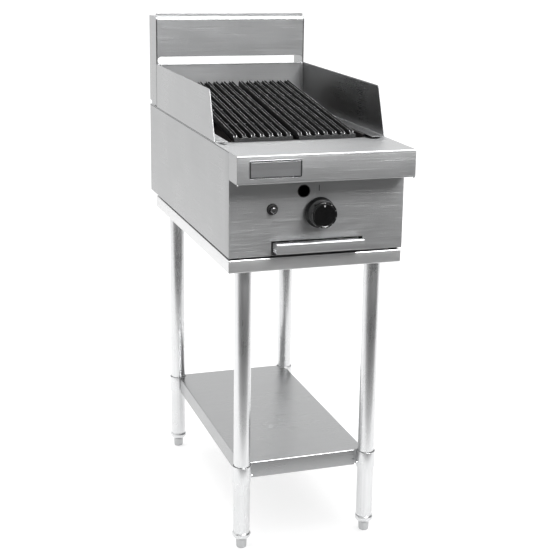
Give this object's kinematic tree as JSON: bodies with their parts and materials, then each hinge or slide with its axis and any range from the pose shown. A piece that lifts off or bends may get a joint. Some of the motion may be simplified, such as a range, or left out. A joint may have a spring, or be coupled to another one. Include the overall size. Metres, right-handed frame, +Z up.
{
  "type": "charbroiler grill",
  "caption": "Gas charbroiler on a round-leg stand with undershelf: two sloping cast grates, side guards, slotted splashback, knob, push igniter and pull-out drip tray.",
  "frame": {"origin": "on the floor under the middle of the bounding box", "axes": "+X to the right seen from the front, +Y to the rear, +Z up; the controls face -Y"},
  "size_m": [0.4, 0.8278, 1.1748],
  "materials": {
    "stainless_casing": "brushed stainless sheet, fine vertical grain, folded edges",
    "stainless_polished": "polished stainless tube and trim",
    "aluminised_steel": "dull aluminised sheet",
    "cast_iron": "seasoned matte cast iron",
    "zinc_fastener": "bright zinc plate",
    "foot_metal": "turned metal foot",
    "spacer_rubber": "matte black",
    "nameplate_metal": "blank raised plate with a dark outline",
    "zinc_pipe": "galvanised pipe",
    "brass_parts": "machined brass",
    "knob_black": "gloss black moulding with a white pointer mark",
    "copper_line": "drawn copper capillary",
    "electrode_ceramic": "glazed white insulator",
    "igniter_black": "black moulding",
    "button_chrome": "bright push button"
  },
  "bodies": {
    "chassis": {"stand_deck": "stainless_casing", "leg_sockets": "aluminised_steel", "socket_screws": "zinc_fastener", "leg_front_left": "stainless_polished", "leg_front_right": "stainless_polished", "leg_rear_left": "stainless_polished", "leg_rear_right": "stainless_polished", "leg_inserts": "stainless_polished", "undershelf": "stainless_casing", "shelf_brackets": "stainless_polished", "shelf_screws": "zinc_fastener", "body_spacers": "spacer_rubber", "body_bolts": "zinc_fastener", "body_nuts": "zinc_fastener", "base_pan": "aluminised_steel", "side_panel_left": "stainless_casing", "side_panel_right": "stainless_casing", "rear_panel": "aluminised_steel", "rear_panel_screws": "zinc_fastener", "control_panel": "stainless_casing", "hob": "stainless_casing", "nameplate": "nameplate_metal", "firebox": "aluminised_steel", "grease_chutes": "aluminised_steel", "heat_shield": "aluminised_steel", "side_guard_left": "stainless_casing", "side_guard_right": "stainless_casing", "rear_guard": "stainless_casing", "splashback": "stainless_casing", "splash_top": "stainless_casing", "splash_brackets": "aluminised_steel", "splash_screws": "zinc_fastener", "grate_rest": "aluminised_steel", "radiants": "cast_iron", "radiant_rails": "aluminised_steel", "burner": "aluminised_steel", "gas_inlet": "brass_parts", "gas_pipe": "zinc_pipe", "pipe_elbows": "zinc_pipe", "manifold": "zinc_pipe", "gas_valve": "brass_parts", "valve_spring": "zinc_fastener", "injector": "brass_parts", "pilot_burner": "brass_parts", "thermocouple": "copper_line", "spark_electrode": "electrode_ceramic", "igniter_body": "igniter_black", "tray_runners": "aluminised_steel"},
    "foot_front_left": {"foot_front_left": "foot_metal"},
    "foot_front_right": {"foot_front_right": "foot_metal"},
    "foot_rear_left": {"foot_rear_left": "foot_metal"},
    "foot_rear_right": {"foot_rear_right": "foot_metal"},
    "grate_left": {"grate_left": "cast_iron"},
    "grate_right": {"grate_right": "cast_iron"},
    "plug": {"valve_plug": "brass_parts"},
    "knob": {"knob": "knob_black", "valve_stem": "brass_parts"},
    "button": {"igniter_button": "button_chrome"},
    "tray": {"drip_tray": "aluminised_steel", "tray_pull": "stainless_polished"}
  },
  "joints": [
    {"name": "foot_front_left_screw", "type": "slide", "parent": "chassis", "child": "foot_front_left", "axis": [0, 0, -1], "range_m": [0, 0.025]},
    {"name": "foot_front_right_screw", "type": "slide", "parent": "chassis", "child": "foot_front_right", "axis": [0, 0, -1], "range_m": [0, 0.025]},
    {"name": "foot_rear_left_screw", "type": "slide", "parent": "chassis", "child": "foot_rear_left", "axis": [0, 0, -1], "range_m": [0, 0.025]},
    {"name": "foot_rear_right_screw", "type": "slide", "parent": "chassis", "child": "foot_rear_right", "axis": [0, 0, -1], "range_m": [0, 0.025]},
    {"name": "grate_left_lift", "type": "slide", "parent": "chassis", "child": "grate_left", "axis": [0, 0, 1], "range_m": [0, 0.15]},
    {"name": "grate_right_lift", "type": "slide", "parent": "chassis", "child": "grate_right", "axis": [0, 0, 1], "range_m": [0, 0.15]},
    {"name": "knob_turn", "type": "hinge", "parent": "chassis", "child": "plug", "pos_m": [0.002, -0.3046, 0.7965], "axis": [0, -1, 0], "range_deg": [0, 180]},
    {"name": "knob_push", "type": "slide", "parent": "plug", "child": "knob", "axis": [0, 1, 0], "range_m": [0, 0.003], "stiffness_N_per_m": 600, "springref_m": -0.002},
    {"name": "igniter_press", "type": "slide", "parent": "chassis", "child": "button", "axis": [0, 1, 0], "range_m": [0, 0.006], "stiffness_N_per_m": 400, "springref_m": -0.003},
    {"name": "tray_slide", "type": "slide", "parent": "chassis", "child": "tray", "axis": [0, -1, 0], "range_m": [0, 0.45]}
  ]
}
